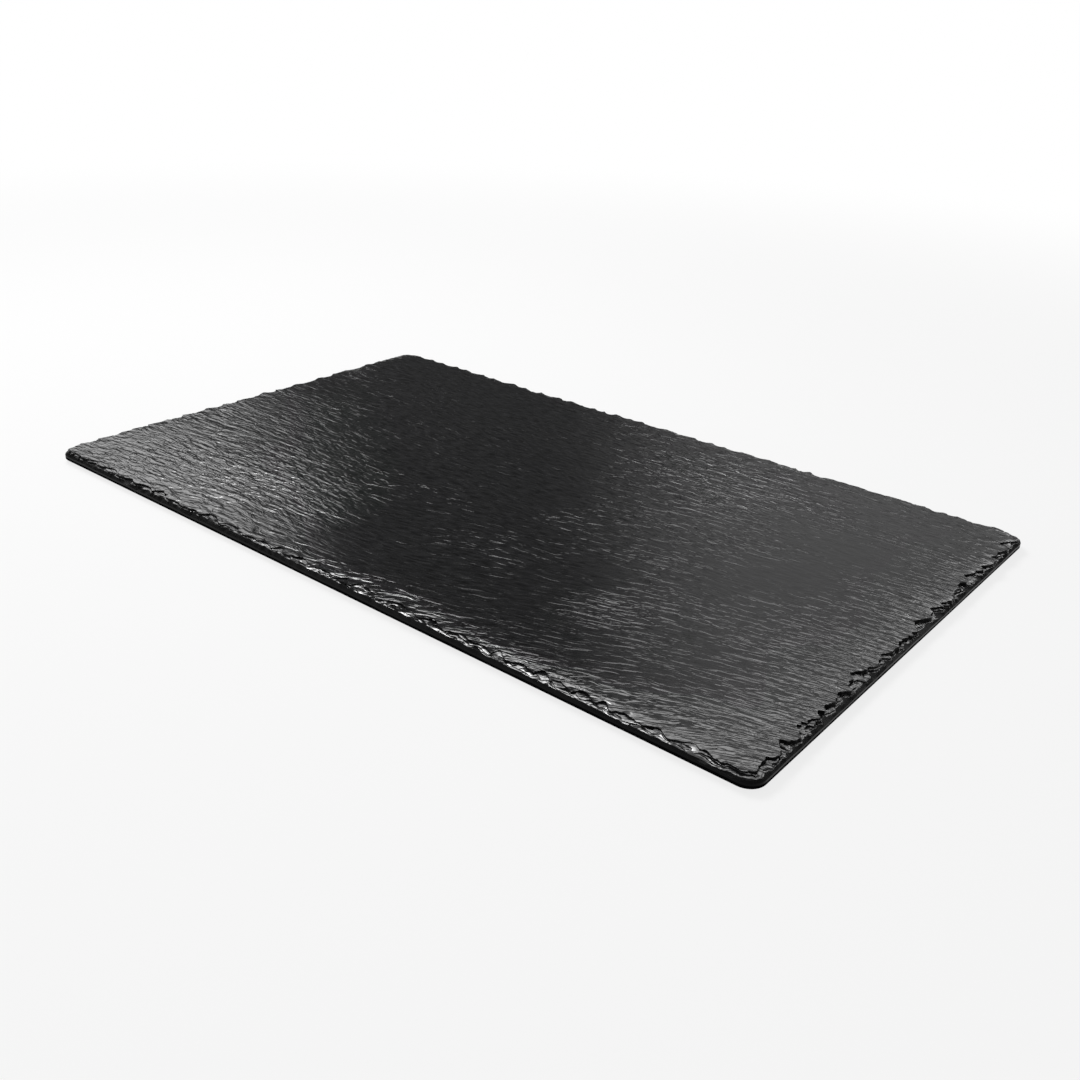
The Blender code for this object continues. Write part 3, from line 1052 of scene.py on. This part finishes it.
floor_shape = bmesh.new()
bmesh.ops.create_grid(floor_shape, x_segments=1, y_segments=1, size=FLOOR_SIZE / 2)
floor = add_object("floor", floor_shape)
pale, tree = new_material("pale_floor")
paint = add_node(tree, "BsdfDiffuse", values={"Color": chart_colour(FLOOR_PAINT)})
white = add_node(tree, "Emission", values={"Color": WHITE, "Strength": 1})
coordinates = add_node(tree, "TexCoord").outputs["Object"]
distance = add_node(tree, "VectorMath", {"operation": "LENGTH"}, links={0: coordinates})
floor_values = {"From Min": FLOOR_NEAR, "From Max": FLOOR_FAR, "To Min": FLOOR_GLOW_NEAR, "To Max": 1}
far = add_node(tree, "MapRange", {"interpolation_type": "SMOOTHSTEP"}, values=floor_values,
               links={"Value": distance.outputs["Value"]})
share = add_node(tree, "Math", {"operation": "MULTIPLY"}, links={0: far, 1: seen_share(tree)})
mixed = add_node(tree, "MixShader", links={0: share, 1: paint, 2: white})
add_node(tree, "OutputMaterial", links={"Surface": mixed})
floor.data.materials.append(pale)
print("floor", FLOOR_SIZE, "m wide, glowing from", FLOOR_GLOW_NEAR)

# %% [markdown]
# ### The backdrop
#
# A round wall of white paper stands far behind the board on every side, so that the picture is white from any
# angle. For the lamps it is as dim as the room, so it adds no light of its own.

# %% Backdrop
BACKDROP_RADIUS = 18  # m
BACKDROP_HEIGHT = 9
BACKDROP_SEGMENTS = 64

backdrop_shape = bmesh.new()
bmesh.ops.create_cone(backdrop_shape, cap_ends=False, segments=BACKDROP_SEGMENTS, radius1=BACKDROP_RADIUS,
                      radius2=BACKDROP_RADIUS, depth=BACKDROP_HEIGHT,
                      matrix=Matrix.Translation((0, 0, BACKDROP_HEIGHT / 2)))
backdrop = add_object("backdrop", backdrop_shape)
paper, tree = new_material("white_backdrop")
strength = add_node(tree, "MapRange", values={"To Min": ROOM_LIGHT, "To Max": 1},
                    links={"Value": seen_share(tree)})
white = add_node(tree, "Emission", values={"Color": WHITE}, links={"Strength": strength})
add_node(tree, "OutputMaterial", links={"Surface": white})
backdrop.data.materials.append(paper)
print("backdrop", BACKDROP_RADIUS, "m away")

# %% [markdown]
# ### The tent
#
# A half sphere of dark cloth over the board is all that the glossy face mirrors. Bright panels on it become
# the pale left end and the grey right end of the face, the dark cloth between them becomes the black middle,
# and three small strong panels light up the ledges of the chips. Overhead and at the front right the cloth is
# pale as well, for views from above and from behind. Each point of the cloth carries its own brightness. The
# tent is seen only in reflections, so it neither lights the board nor shades it.

# %% Tent
TENT_RADIUS = 2.4  # m
TENT_SEGMENTS = 120
TENT_RINGS = 60
TENT_LEVEL = 0.065
PANELS = (  # turn and height of the middle, half sizes, softness both ways in degrees, and brightness
    (0, 90, 180, 42, 1, 12, 1.5),
    (0, 90, 180, 12, 1, 36, 0.5),
    (315, 22, 75, 9, 50, 14, 0.45),
    (98, 30, 22, 18, 16, 8, 0.44),
    (167.5, 36, 17, 15.5, 16, 14, 2.8),
    (118, 52, 26, 10, 8, 8, 3.8),
    (76, 36, 18, 8, 6, 5, 4.5),
    (176, 58, 29, 13, 6, 7, 6.5),
)


def soft_step(value):
    """A step from 0 to 1 with no kink at its ends."""
    value = min(max(value, 0), 1)
    return value * value * (3 - 2 * value)


def tent_brightness(point):
    """How bright the tent is at a point of it: each panel lies over the one before it."""
    turn = math.degrees(math.atan2(point.y, point.x))
    height = math.degrees(math.asin(max(min(point.z / TENT_RADIUS, 1), -1)))
    level = TENT_LEVEL
    for middle_turn, middle_height, half_turn, half_height, soft_turn, soft_height, brightness in PANELS:
        beside = abs((turn - middle_turn + 180) % 360 - 180) - half_turn
        above = abs(height - middle_height) - half_height
        cover = soft_step(0.5 - beside / soft_turn) * soft_step(0.5 - above / soft_height)
        level += (brightness - level) * cover
    return level


tent_shape = bmesh.new()
glow = tent_shape.verts.layers.float.new("glow")
bmesh.ops.create_uvsphere(tent_shape, u_segments=TENT_SEGMENTS, v_segments=TENT_RINGS, radius=TENT_RADIUS)
for vert in tent_shape.verts:
    vert[glow] = tent_brightness(vert.co)
bmesh.ops.bisect_plane(tent_shape, geom=tent_shape.verts[:] + tent_shape.edges[:] + tent_shape.faces[:],
                       plane_co=(0, 0, 0), plane_no=UP, clear_inner=True)
tent = add_object("light_tent", tent_shape)
cloth, tree = new_material("light_tent")
level = add_node(tree, "Attribute", {"attribute_name": "glow"})
light = add_node(tree, "Emission", values={"Color": WHITE}, links={"Strength": level.outputs["Fac"]})
add_node(tree, "OutputMaterial", links={"Surface": light})
tent.data.materials.append(cloth)
for ray in ("camera", "diffuse", "transmission", "shadow"):
    setattr(tent, f"visible_{ray}", False)
print("tent with", len(PANELS), "panels")

# %% [markdown]
# ### The lamps
#
# Two softboxes stand at the left, where the key light comes from: a large one for a soft shadow, and a small
# bright core in it that puts a clear glint on the ledges.

# %% Lamps
SOFTBOXES = (  # name, turn and height in degrees, distance, length and width in metres, and brightness
    ("key", 178, 58, 1.3, 0.95, 0.62, 5),
    ("core", 176, 56, 1.25, 0.35, 0.28, 12),
)


def compass(turn, height, distance):
    """The point at this turn from the long axis and height above the floor, in degrees, and distance."""
    turn = math.radians(turn)
    height = math.radians(height)
    flat = distance * math.cos(height)
    return Vector((flat * math.cos(turn), flat * math.sin(turn), distance * math.sin(height)))


for name, turn, height, distance, length, width, brightness in SOFTBOXES:
    lamp = bpy.data.lights.new(name, "AREA")
    lamp.shape = "RECTANGLE"
    lamp.size = length
    lamp.size_y = width
    lamp.energy = brightness * math.pi * length * width
    softbox = add_thing(name, lamp)
    softbox.location = compass(turn, height, distance)
    softbox.rotation_euler = softbox.location.to_track_quat("Z", "Y").to_euler()
    softbox.visible_camera = False
    print(name, "softbox,", round(lamp.energy, 1), "watts")
